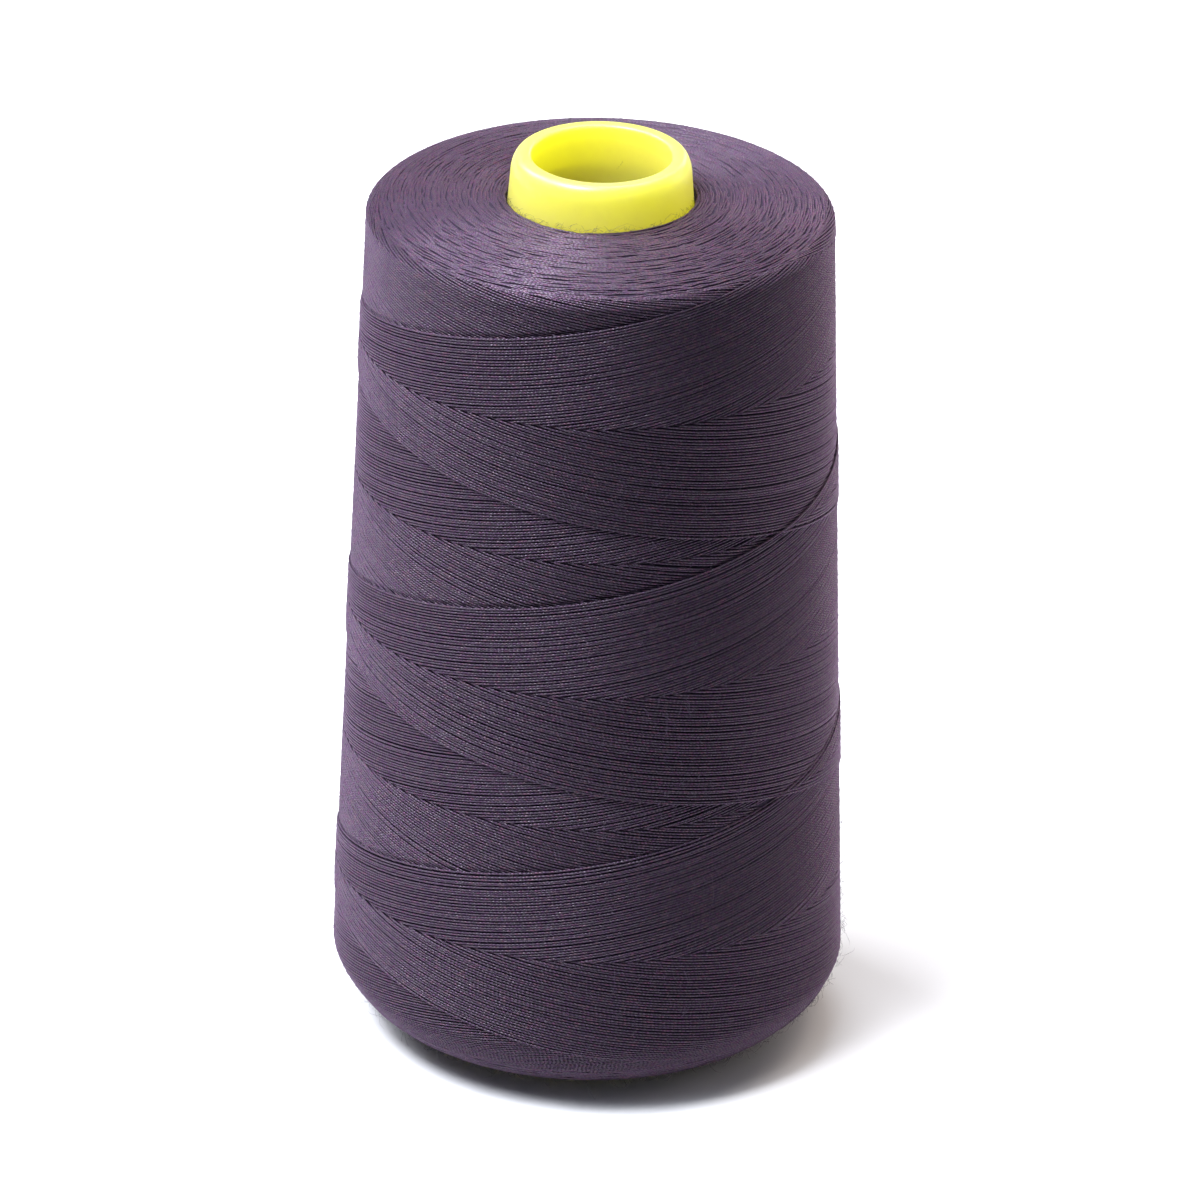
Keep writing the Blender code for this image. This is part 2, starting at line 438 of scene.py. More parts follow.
def plied_thread_group():
    """Grooves between the two plies; how deep in a groove or on a flank a place is, a mask for
    painted shade; how loose its fibres lie.
    """
    group = bpy.data.node_groups.new("plied_thread", "ShaderNodeTree")
    socket(group, "Twist Length", "INPUT", value=TWIST_LENGTH)
    socket(group, "Fibre", "INPUT", value=FIBRE_DEPTH)
    socket(group, "Flank Shade", "INPUT", value=FLANK_SHADE)
    socket(group, "Height", "OUTPUT")
    socket(group, "Groove Shade", "OUTPUT")
    socket(group, "Loose", "OUTPUT")
    inside = group.nodes.new("NodeGroupInput")
    outside = group.nodes.new("NodeGroupOutput")
    along, around = thread_place(group)
    turns = maths(group, "DIVIDE", along, inside.outputs["Twist Length"])
    phase = maths(group, "ADD", turns, around)
    wave = maths(group, "SINE", maths(group, "MULTIPLY", phase, 2.0 * math.pi))
    ridge = maths(group, "POWER", maths(group, "ABSOLUTE", wave), RIDGE_POWER)
    noises = []
    for along_scale, round_scale in (FIBRE_SCALE, LOOSE_SCALE):
        scaled_turns = maths(group, "MULTIPLY", turns, along_scale)
        scaled_round = maths(group, "MULTIPLY", around, round_scale)
        noises.append(thread_noise(group, scaled_turns, scaled_round))
    rough = maths(group, "MULTIPLY", noises[0], inside.outputs["Fibre"])
    group.links.new(maths(group, "ADD", ridge, rough), outside.inputs["Height"])
    # Flanks lie in the shade between neighbouring threads; with the ply grooves they make the mask
    # for painted shade.
    across = maths(group, "COSINE", maths(group, "MULTIPLY", around, 2.0 * math.pi))
    side = maths(group, "POWER", maths(group, "ABSOLUTE", across), FLANK_POWER)
    flank = maths(group, "MULTIPLY", side, inside.outputs["Flank Shade"])
    sunk = maths(group, "MAXIMUM", maths(group, "SUBTRACT", 1.0, ridge), flank)
    group.links.new(sunk, outside.inputs["Groove Shade"])
    above = maths(group, "SUBTRACT", noises[1], LOOSE_FROM)
    loose = maths(group, "MULTIPLY", above, LOOSE_GAIN)
    loose.node.use_clamp = True
    group.links.new(loose, outside.inputs["Loose"])
    return group


plied_thread = plied_thread_group()
print("group:", plied_thread.name, [item.name for item in plied_thread.interface.items_tree])

# %% [markdown]
# ### Flecks of dye
#
# Staple fibres take up dye unevenly, so the purple is really a dark shade with flecks of plum and
# slate. The second group lays one streaky noise along the thread for each of the two.

# %% Build the dye fleck group
FLECK_LENGTH = 0.8 * MM
FLECK_AMOUNT = 0.8
FLECK_ROUND_SCALE = 1.3
FLECK_FROM = 0.50
FLECK_GAIN = 4.5
FLECK_SHIFTS = (("Warm", 0.0), ("Cool", 91.7))
MIDDLE_GREY = (0.5, 0.5, 0.5, 1.0)


def colour_mix(tree, amount, first, second):
    """Mixes two colours, each a socket or a value, by a socket or a number."""
    mix = tree.nodes.new("ShaderNodeMix")
    mix.data_type = "RGBA"
    for slot, value in ((0, amount), (6, first), (7, second)):
        if isinstance(value, bpy.types.NodeSocket):
            tree.links.new(value, mix.inputs[slot])
        else:
            mix.inputs[slot].default_value = value
    return mix.outputs[2]


def dye_fleck_group():
    """Colour of dyed staple fibres: one shade, with streaks of two others along the thread."""
    group = bpy.data.node_groups.new("dye_flecks", "ShaderNodeTree")
    for name in ("Shade", "Warm", "Cool"):
        socket(group, name, "INPUT", "NodeSocketColor", MIDDLE_GREY)
    socket(group, "Fleck Length", "INPUT", value=FLECK_LENGTH)
    socket(group, "Amount", "INPUT", value=FLECK_AMOUNT)
    socket(group, "Colour", "OUTPUT", "NodeSocketColor")
    inside = group.nodes.new("NodeGroupInput")
    outside = group.nodes.new("NodeGroupOutput")
    along, around = thread_place(group)
    run = maths(group, "DIVIDE", along, inside.outputs["Fleck Length"])
    mixed = inside.outputs["Shade"]
    for name, shift in FLECK_SHIFTS:
        shifted = maths(group, "ADD", run, shift)
        scaled_round = maths(group, "MULTIPLY", around, FLECK_ROUND_SCALE)
        noise = thread_noise(group, shifted, scaled_round)
        above = maths(group, "MULTIPLY", maths(group, "SUBTRACT", noise, FLECK_FROM), FLECK_GAIN)
        share = maths(group, "MULTIPLY", above, inside.outputs["Amount"])
        share.node.use_clamp = True
        mixed = colour_mix(group, share, mixed, inside.outputs[name])
    group.links.new(mixed, outside.inputs["Colour"])
    return group


dye_flecks = dye_fleck_group()
print("group:", dye_flecks.name, [item.name for item in dye_flecks.interface.items_tree])

# %% [markdown]
# ### Thread materials
#
# Under the flecked colour, the bare polyester gives a bright narrow highlight. Over it lies a matt
# coat that stands for dyed fibre ends. It is thick where the fibres lie loose and thin where the
# thread is taut, so the highlight breaks up into beads. Grooves are matt, and their shade is
# painted into the colour.
#
# The turns of the top and the underside have a material of their own. Their plies stand out less
# and less shade is painted into their grooves, because there the thread lies slack. The layers
# below show only in gaps, so a dark mottled purple is enough for them.

# %% Make the thread materials
THREAD_SHADE = (0.015, 0.013, 0.018, 1.0)
THREAD_WARM = (0.090, 0.026, 0.034, 1.0)
THREAD_COOL = (0.006, 0.012, 0.024, 1.0)
# Colour of the painted shade in the grooves and on the flanks of the threads.
GROOVE_PAINTED_SHADE = (0.002, 0.002, 0.002, 1.0)
DYE_TINT = (0.93, 0.62, 1.0, 1.0)
DYE_LAYER_IOR = 1.25
DYE_LEAST = 0.30
HIGHLIGHT_TINT = (1.0, 0.92, 1.0, 1.0)
SHEEN_TINT = (0.80, 0.50, 0.90, 1.0)
TAUT_ROUGHNESS = 0.24
LOOSE_ROUGHNESS = 0.10
GROOVE_ROUGHNESS = 0.65
HIGHLIGHT_STRENGTH = 1.0
DYE_ROUGHNESS = 1.0
SHEEN_ROUGHNESS = 0.45
PLY_DEPTH = 0.05 * MM


def group_node(tree, group, **values):
    """A shader group placed in a tree, with values for its inputs."""
    node = add_node(tree, "ShaderNodeGroup", node_tree=group)
    for key, value in values.items():
        node.inputs[key.replace("_", " ")].default_value = value
    return node


def thread_material(name, sheen, groove_shade, bump):
    """Dyed and plied: flecked colour, painted shade in matt grooves, a matt coat and a sheen of
    fibre ends.
    """
    made, tree, shader = new_material(name)
    ply = group_node(tree, plied_thread)
    dye = group_node(tree, dye_flecks, Shade=THREAD_SHADE, Warm=THREAD_WARM, Cool=THREAD_COOL)
    # Painted shade: the colour is darkened in the grooves and on the flanks, by the groove mask
    # times this material's share.
    deep = maths(tree, "MULTIPLY", ply.outputs["Groove Shade"], groove_shade)
    colour = colour_mix(tree, deep, dye.outputs["Colour"], GROOVE_PAINTED_SHADE)
    tree.links.new(colour, shader.inputs["Base Color"])
    raised = add_node(tree, "ShaderNodeBump", {"Strength": bump, "Distance": PLY_DEPTH})
    tree.links.new(ply.outputs["Height"], raised.inputs["Height"])
    tree.links.new(raised.outputs["Normal"], shader.inputs["Normal"])
    loose = maths(tree, "MULTIPLY", ply.outputs["Loose"], LOOSE_ROUGHNESS)
    sunk = maths(tree, "MULTIPLY", ply.outputs["Groove Shade"], GROOVE_ROUGHNESS)
    matt = maths(tree, "ADD", maths(tree, "ADD", loose, sunk), TAUT_ROUGHNESS)
    tree.links.new(matt, shader.inputs["Roughness"])
    shader.inputs["Specular IOR Level"].default_value = HIGHLIGHT_STRENGTH
    shader.inputs["Specular Tint"].default_value = HIGHLIGHT_TINT
    extra = maths(tree, "MULTIPLY", ply.outputs["Loose"], 1.0 - DYE_LEAST)
    dyed = maths(tree, "ADD", extra, DYE_LEAST)
    tree.links.new(dyed, shader.inputs["Coat Weight"])
    shader.inputs["Coat Roughness"].default_value = DYE_ROUGHNESS
    shader.inputs["Coat IOR"].default_value = DYE_LAYER_IOR
    shader.inputs["Coat Tint"].default_value = DYE_TINT
    shader.inputs["Sheen Weight"].default_value = sheen
    shader.inputs["Sheen Roughness"].default_value = SHEEN_ROUGHNESS
    shader.inputs["Sheen Tint"].default_value = SHEEN_TINT
    return made


# The middle value sets how much shade is painted into the grooves and flanks.
laid_thread = thread_material("laid_thread", sheen=0.05, groove_shade=0.95, bump=0.9)
turned_thread = thread_material("turned_thread", sheen=0.10, groove_shade=0.70, bump=0.3)
print("thread materials:", laid_thread.name, turned_thread.name)

# %% Make the material of the layers below
SHADE_BELOW = (0.012, 0.009, 0.015, 1.0)
LIGHT_BELOW = (0.062, 0.045, 0.078, 1.0)
MOTTLE_SCALE = 2500.0
BELOW_ROUGHNESS = 0.9
BELOW_GLOSS = 0.1

under_thread, under_tree, under_shader = new_material("layers_below")
under_place = under_tree.nodes.new("ShaderNodeNewGeometry")
mottle = {"Scale": MOTTLE_SCALE, "Detail": 2.0}
under_noise = add_node(under_tree, "ShaderNodeTexNoise", mottle)
under_tree.links.new(under_place.outputs["Position"], under_noise.inputs["Vector"])
under_shade = colour_mix(under_tree, under_noise.outputs["Fac"], SHADE_BELOW, LIGHT_BELOW)
under_tree.links.new(under_shade, under_shader.inputs["Base Color"])
under_shader.inputs["Roughness"].default_value = BELOW_ROUGHNESS
under_shader.inputs["Specular IOR Level"].default_value = BELOW_GLOSS
print("material below:", under_thread.name)

# %% [markdown]
# ## Making threads
#
# A thread is a thin closed tube along a path on the winding. Curves with a bevel would do, but
# thousands of them are slow and give no map along the thread. So one function builds the tubes
# straight from arrays of places: a ring of corners at each place, faces between rings, and a
# pointed tip at each end that dips under its neighbours. It also lays out both maps.

# %% Write the tube maker
SIDES = 6
TIP = 0.35 * MM
MAP_START = 400.0 * MM
MAP_MARGIN = 0.05 * MM
MAP_STRETCH = 1.04
MAP_SPARE = 1.001


def map_rows(lengths, row_height):
    """Packs strips in rows of a square map: each strip's start and row, and the map's side."""
    area = float(sum(lengths)) * row_height
    side = max(math.sqrt(area) * MAP_STRETCH, max(lengths) * MAP_SPARE)
    starts, rows, row, filled = [], [], 0, 0.0
    for length in lengths:
        if filled + length > side:
            row += 1
            filled = 0.0
        starts.append(filled)
        rows.append(row)
        filled += length
    return starts, rows, max(side, (row + 1) * row_height)


def tube_mesh(name, runs, half_wide, half_high, material, phases):
    """One mesh of closed tubes. Each run is (places, normals, swell), with a row a place."""
    angles = np.arange(SIDES) * 2.0 * math.pi / SIDES
    girth = math.pi * (half_wide + half_high)
    row_height = girth + 2.0 * MAP_MARGIN
    spans = [np.linalg.norm(np.diff(run[0], axis=0), axis=1) for run in runs]
    lengths = [float(span.sum()) + 2.0 * TIP + 2.0 * MAP_MARGIN for span in spans]
    starts, rows, side = map_rows(lengths, row_height)
    points, faces, bake_map, thread_map = [], [], [], []
    base = 0
    around = np.arange(SIDES)
    onward = (around + 1) % SIDES
    for i, ((places, normals, swell), span) in enumerate(zip(runs, spans)):
        count = len(places)
        heading = np.gradient(places, axis=0)
        heading /= np.linalg.norm(heading, axis=1)[:, None]
        across = np.cross(heading, normals)
        across /= np.linalg.norm(across, axis=1)[:, None]
        outward = np.cross(across, heading)
        sideways = np.outer(swell, np.cos(angles)) * half_wide
        upwards = np.outer(swell, np.sin(angles)) * half_high
        ring = (
            places[:, None, :]
            + across[:, None, :] * sideways[:, :, None]
            + outward[:, None, :] * upwards[:, :, None]
        )
        first = places[0] - heading[0] * TIP - outward[0] * half_high
        last = places[-1] + heading[-1] * TIP - outward[-1] * half_high
        points.append(np.concatenate([ring.reshape(-1, 3), first[None], last[None]]))
        run = TIP + np.concatenate([[0.0], np.cumsum(span)])
        total = run[-1] + TIP
        low = base + np.arange(count - 1)[:, None] * SIDES
        high = low + SIDES
        quads = np.stack([low + around, low + onward, high + onward, high + around], -1)
        head, tail = base + count * SIDES, base + count * SIDES + 1
        end = base + (count - 1) * SIDES
        caps_in = np.stack([np.full(SIDES, head), base + onward, base + around], -1)
        caps_out = np.stack([np.full(SIDES, tail), end + around, end + onward], -1)
        faces.append((quads.reshape(-1, 4), np.concatenate([caps_in, caps_out])))
        v_low = around / SIDES
        v_high = (around + 1) / SIDES
        here = np.broadcast_to(run[:-1, None], (count - 1, SIDES))
        there = np.broadcast_to(run[1:, None], (count - 1, SIDES))
        low_v = np.broadcast_to(v_low, here.shape)
        high_v = np.broadcast_to(v_high, here.shape)
        u = np.stack([here, here, there, there], -1).reshape(-1)
        v = np.stack([low_v, high_v, high_v, low_v], -1).reshape(-1)
        middle = (v_low + v_high) / 2.0
        u_in = np.tile([0.0, run[0], run[0]], SIDES)
        v_in = np.stack([middle, v_high, v_low], -1).reshape(-1)
        u_out = np.tile([total, run[-1], run[-1]], SIDES)
        v_out = np.stack([middle, v_low, v_high], -1).reshape(-1)
        u = (u, np.concatenate([u_in, u_out]))
        v = (v, np.concatenate([v_in, v_out]))
        shift = phases[i] * MAP_START
        bake_map.append([
            np.stack([
                (starts[i] + MAP_MARGIN + u[part]) / side,
                (rows[i] * row_height + MAP_MARGIN + v[part] * girth) / side,
            ], -1)
            for part in (0, 1)
        ])
        thread_map.append([np.stack([u[part] + shift, v[part]], -1) for part in (0, 1)])
        base += count * SIDES + 2
    return tube_object(name, points, faces, bake_map, thread_map, material)


def tube_object(name, points, faces, bake_map, thread_map, material):
    """Turns the tube maker's arrays into an object, quads first and tips after them."""
    points = np.concatenate(points)
    quads = np.concatenate([pair[0] for pair in faces])
    tips = np.concatenate([pair[1] for pair in faces])
    mesh = bpy.data.meshes.new(name)
    mesh.vertices.add(len(points))
    mesh.vertices.foreach_set("co", points.astype(np.float32).ravel())
    mesh.loops.add(quads.size + tips.size)
    corners = np.concatenate([quads.ravel(), tips.ravel()])
    mesh.loops.foreach_set("vertex_index", corners.astype(np.int32))
    mesh.polygons.add(len(quads) + len(tips))
    starts = np.concatenate([np.arange(len(quads)) * 4, quads.size + np.arange(len(tips)) * 3])
    mesh.polygons.foreach_set("loop_start", starts.astype(np.int32))
    for map_name, pieces in ((BAKE_MAP, bake_map), (THREAD_MAP, thread_map)):
        layer = mesh.uv_layers.new(name=map_name)
        flat = [pair[part] for part in (0, 1) for pair in pieces]
        layer.data.foreach_set("uv", np.concatenate(flat).astype(np.float32).ravel())
    mesh.update(calc_edges=True)
    mesh.validate()
    mesh.shade_smooth()
    mesh.materials.append(material)
    thing = bpy.data.objects.new(name, mesh)
    bpy.context.scene.collection.objects.link(thing)
    print(name, "tubes:", len(points), "points,", len(quads) * 2 + len(tips), "triangles")
    return thing


# %% [markdown]
# ## The layers below
#
# Between the outermost threads the eye sees only the dark of the layers below. They are one
# closed ring, 0.38 mm under the surface on the side and 0.24 mm under it on the top, with the
# same bands raised on it, so that no daylight shows through a gap.

# %% Turn the layers below
BODY_DEPTH = 0.38 * MM
DOME_DEPTH = 0.24 * MM
DEPTH_BLEND = 3.0 * MM
BODY_END_TOP = 0.2 * MM
BODY_END_UNDER = 0.4 * MM
BODY_STEPS = 180
BODY_ROWS = 96


def turned_mesh(name, sections, material):
    """A closed ring from sections of equal length, one at each azimuth, with its own map."""
    count, rows = len(sections), len(sections[0])
    points = np.concatenate(sections)
    low = np.arange(count)[:, None] * rows
    high = (np.arange(count)[:, None] + 1) % count * rows
    here = np.arange(rows)
    there = (here + 1) % rows
    quads = np.stack([low + here, low + there, high + there, high + here], -1).reshape(-1, 4)
    mesh = bpy.data.meshes.new(name)
    mesh.from_pydata(points.tolist(), [], quads.tolist())
    layer = mesh.uv_layers.new(name=BAKE_MAP)
    section = np.concatenate([sections[0], sections[0][:1]])
    run = np.concatenate([[0.0], np.cumsum(np.linalg.norm(np.diff(section, axis=0), axis=1))])
    run = run / run[-1]
    left = np.broadcast_to(np.arange(count)[:, None] / count, (count, rows))
    wide = left + 1.0 / count
    lower = np.broadcast_to(run[:-1], (count, rows))
    upper = np.broadcast_to(run[1:], (count, rows))
    u = np.stack([left, left, wide, wide], -1)
    v = np.stack([lower, upper, upper, lower], -1)
    layer.data.foreach_set("uv", np.stack([u, v], -1).astype(np.float32).ravel())
    mesh.update()
    mesh.shade_smooth()
    mesh.materials.append(material)
    thing = bpy.data.objects.new(name, mesh)
    bpy.context.scene.collection.objects.link(thing)
    return thing


body_lay = np.linspace(LAY_AT_CORE - BODY_END_TOP, LAY_UNDER + BODY_END_UNDER, BODY_ROWS)
body_depth = np.interp(body_lay, [SIDE_TOP, SIDE_TOP + DEPTH_BLEND], [BODY_DEPTH, DOME_DEPTH])
body_sections = []
for step in range(BODY_STEPS):
    azimuth = np.full(BODY_ROWS, 360.0 * step / BODY_STEPS)
    body_lift = relief(azimuth, body_lay) - body_depth
    body_sections.append(winding_point(azimuth, body_lay, body_lift)[0])
layers_below = turned_mesh("layers_below", body_sections, under_thread)
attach(layers_below, "root")
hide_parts("winding")
print("layers below:", len(layers_below.data.polygons), "faces")

# %% [markdown]
# ## The threads on the side
#
# Each stroke is followed from end to end by the rule of the lay. Only the stretches that lie on
# top, or are just diving under a crossing stroke, are worth building, because nobody can see the
# rest. The spacing is never quite even: every stroke wanders by a few hundredths of a millimetre,
# and neighbours drift together, which opens the fine dark lines of the real cone.

# %% Follow the strokes
STEP = 0.75 * MM
TURN_SOFTNESS = 0.5 * MM
TURN_STRAY = 0.4 * MM
WANDER = 0.046 * MM
WANDER_KNOTS = 60.0 * MM
DRIFT = 0.055 * MM
DRIFT_KNOTS = 180.0 * MM
DRIFT_REACH = 8
DRIFT_SPREAD = 2.2
STEADY_SHARE = 0.14
STEADY_LEAST = 0.35
SHORT_OF_LAST_KNOT = 1.001
SLUB = 0.07
SLUB_STEP = 3
STROKE_LENGTH = TURNS * 2.0 * math.pi * side_radius(SIDE_TOP / 2.0)
STROKE_SAMPLES = int(STROKE_LENGTH / STEP)
rng = np.random.default_rng(20)


def smooth_noise(knots_apart):
    """Random values for each stroke, smooth along its length."""
    knots = rng.standard_normal((STROKES, int(STROKE_LENGTH / knots_apart) + 3))
    at = np.linspace(0.0, knots.shape[1] - SHORT_OF_LAST_KNOT, STROKE_SAMPLES)
    low = at.astype(int)
    share = at - low
    share = share * share * (3.0 - 2.0 * share)
    return knots[:, low] * (1.0 - share) + knots[:, low + 1] * share


def slubs(count):
    """Thick and thin places along a thread of count samples, as shares of its thickness."""
    knots = rng.standard_normal(count // SLUB_STEP + 3)
    smoothed = np.interp(np.arange(count) / SLUB_STEP, np.arange(len(knots)), knots)
    return 1.0 + SLUB * np.clip(smoothed, -2.0, 2.0)


def stroke_shifts():
    """How far each stroke strays from its even place, along its whole length."""
    single = smooth_noise(WANDER_KNOTS) * WANDER
    shared = smooth_noise(DRIFT_KNOTS)
    neighbours = np.arange(-DRIFT_REACH, DRIFT_REACH + 1)
    weights = np.exp(-0.5 * (neighbours / DRIFT_SPREAD) ** 2)
    weights /= math.sqrt((weights**2).sum())
    around = np.stack([np.roll(shared, k, axis=0) for k in neighbours])
    share = np.linspace(0.0, 1.0, STROKE_SAMPLES)
    steady = np.clip(np.minimum(share, 1.0 - share) / STEADY_SHARE, STEADY_LEAST, 1.0)
    return (single + np.tensordot(weights, around, 1) * DRIFT) * steady


def stroke_travel(turns):
    """How far a stroke has come, with a soft and slightly uneven bend where it turns back."""
    first_stray, last_stray = rng.uniform(-TURN_STRAY, TURN_STRAY, 2)
    from_start = turns * PITCH
    from_end = (TURNS - turns) * PITCH
    first_bend = first_stray * np.exp(-from_start / TURN_SOFTNESS)
    last_bend = last_stray * np.exp(-from_end / TURN_SOFTNESS)
    rise_start = np.hypot(from_start, TURN_SOFTNESS) + first_bend
    rise_end = np.hypot(from_end, TURN_SOFTNESS) + last_bend
    return np.where(turns < TURNS / 2.0, rise_start, TURNS * PITCH - rise_end)


print("each stroke:", round(STROKE_LENGTH / MM), "mm long,", STROKE_SAMPLES, "samples")

# %% Lay the side threads
COARSE = 4
TURN_REACH = 0.004
LEVEL = 0.20 * MM
DIVE = 1.6
SMOOTHING = (0.25, 0.5, 0.25)
HIDDEN = -0.95
ON_TOP = 0.98
LIFT_STEP = 0.02 * MM
FEWEST_SAMPLES = 6
SURFACE = THREAD_HIGH


def lay_strokes(climbing):
    """Visible runs of one family of strokes, newest first."""
    crossing_age = falling_age if climbing else climbing_age
    shifts = stroke_shifts()
    runs = []
    turns = np.linspace(-TURN_REACH, TURNS + TURN_REACH, STROKE_SAMPLES)
    for index in range(STROKES):
        azimuth = NEWEST_AZIMUTH + 360.0 * (index / STROKES + turns)
        travel = stroke_travel(turns)
        lay = LAY_BOTTOM + travel if climbing else LAY_TOP - travel
        lay = lay + shifts[index]
        other = crossing_age(azimuth, lay)
        above = np.clip((other * STROKES - index) * DIVE, -1.0, 1.0)
        above = np.convolve(np.pad(above, 1, mode="edge"), SMOOTHING, mode="valid")
        shown = above > HIDDEN
        shown = shown | np.roll(shown, 1) | np.roll(shown, -1)
        lift = relief(azimuth, lay) - SURFACE - LEVEL * (1.0 - above)
        places, normals = winding_point(azimuth, lay, lift)
        edges = np.flatnonzero(np.diff(np.concatenate([[0], shown.astype(int), [0]])))
        for start, end in edges.reshape(-1, 2):
            if end - start < FEWEST_SAMPLES:
                continue
            along = np.arange(start, end)
            bending = np.abs(above[along]) < ON_TOP
            bending = bending | (np.abs(np.gradient(lift[along])) > LIFT_STEP)
            kept = along[bending | ((along - start) % COARSE == 0) | (along == end - 1)]
            runs.append((places[kept], normals[kept], slubs(len(kept))))
    return runs


for name, climbing in (("climbing_thread", True), ("falling_thread", False)):
    runs = lay_strokes(climbing)
    phases = rng.uniform(0.0, 1.0, len(runs))
    laid = tube_mesh(name, runs, THREAD_WIDE, THREAD_HIGH, laid_thread, phases)
    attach(laid, "root")
    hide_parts("winding")
    print(len(runs), "runs;", len(laid.data.polygons), "faces")

# %% [markdown]
# ## The top face
#
# Where the guide turns back, each stroke leaves an arc. Layer after layer these arcs pile up
# into the domed top: rings of short arcs that start and end under their outer neighbours. The
# rings begin where the strokes turn back, just over the shoulder. Each arc also wavers a little,
# so that the top looks laid and not turned on a lathe.

# %% Lay the rings of the top
RING_GAP = 0.26 * MM
RING_START = 0.5 * MM
RING_END = 0.1 * MM
RING_MARGIN = 0.06 * MM
TURN_WIDE = 0.150 * MM
ARC_STEP = 1.15 * MM
ARC_LENGTH = (5.0 * MM, 16.0 * MM)
ARC_OVERLAP = 1.3
ARC_FLARE = (0.15 * MM, 0.75 * MM)
ARC_SINK = 0.16 * MM
ARC_STRAY = 0.08 * MM
ARC_WAVE = 0.060 * MM
ARC_LEVEL = 0.09 * MM
ARC_BEND_POWER = 3.0
FEWEST_ARC_SAMPLES = 7
INNERMOST_TOP = LAY_AT_CORE - RING_MARGIN
INNERMOST_UNDER = LAY_UNDER + RING_MARGIN


def turning_arcs(lays, towards_rim):
    """Arcs along rings at these lays. Their ends flare towards the rim and sink."""
    runs = []
    for lay in lays:
        radius = float(on_outline(outline[:, 0], lay))
        start = azimuth = rng.uniform(0.0, 360.0)
        while azimuth < start + 360.0:
            arc = math.degrees(rng.uniform(*ARC_LENGTH) / radius)
            reach = arc * ARC_OVERLAP
            samples = max(FEWEST_ARC_SAMPLES, int(math.radians(reach) * radius / ARC_STEP))
            along = np.linspace(-1.0, 1.0, samples)
            bend = np.abs(along) ** ARC_BEND_POWER
            flare = np.where(along < 0.0, rng.uniform(*ARC_FLARE), rng.uniform(*ARC_FLARE))
            at = lay + rng.normal(0.0, ARC_STRAY) + towards_rim * bend * flare
            at = at + rng.normal(0.0, ARC_WAVE, samples)
            at = np.clip(at, INNERMOST_UNDER, INNERMOST_TOP)
            lift = -SURFACE - ARC_LEVEL * rng.uniform(0.0, 1.0) - bend * ARC_SINK
            places, normals = winding_point(azimuth + reach * (along + 1.0) / 2.0, at, lift)
            runs.append((places, normals, slubs(samples)))
            azimuth += arc
    return runs


top_lays = np.arange(LAY_TOP - RING_START, LAY_AT_CORE, RING_GAP)
runs = turning_arcs(top_lays, -1.0)
phases = rng.uniform(0.0, 1.0, len(runs))
top_rings = tube_mesh("top_turns", runs, TURN_WIDE, THREAD_HIGH, turned_thread, phases)
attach(top_rings, "root")
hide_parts("winding")
print(len(top_lays), "rings of", len(runs), "arcs")

# %% [markdown]
# The underside is built the same way, from the bottom edge in to the core. It can't be seen in
# the photograph, so it follows the top.

# %% Lay the rings of the underside
bottom_lays = np.arange(LAY_BOTTOM + RING_START, LAY_UNDER + RING_END, -RING_GAP)
runs = turning_arcs(bottom_lays, 1.0)
phases = rng.uniform(0.0, 1.0, len(runs))
under_rings = tube_mesh("bottom_turns", runs, TURN_WIDE, THREAD_HIGH, turned_thread, phases)
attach(under_rings, "root")
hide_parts("winding")
print(len(bottom_lays), "rings of", len(runs), "arcs")

# %% [markdown]
# ## The fuzz
#
# Spun thread is made of short fibres, and some of their ends stand off. Close to, they blur the
# outline of the cone and reach over the foot of the yellow lip. Each is a thin bent spindle with
# three sides, rooted between the threads. There are 14,000 of them, 400 of which stand close
# round the core, where they show against the yellow. Those under the winding are kept just above
# the floor, so that none goes through it.

# %% Write the hair maker
HAIR_SIDES = 3
HAIR_TAPER = 0.8
CELL_MARGIN = 0.05
CELL_FILL = 0.9
LOW_BEND, HIGH_BEND = 0.3, 0.7


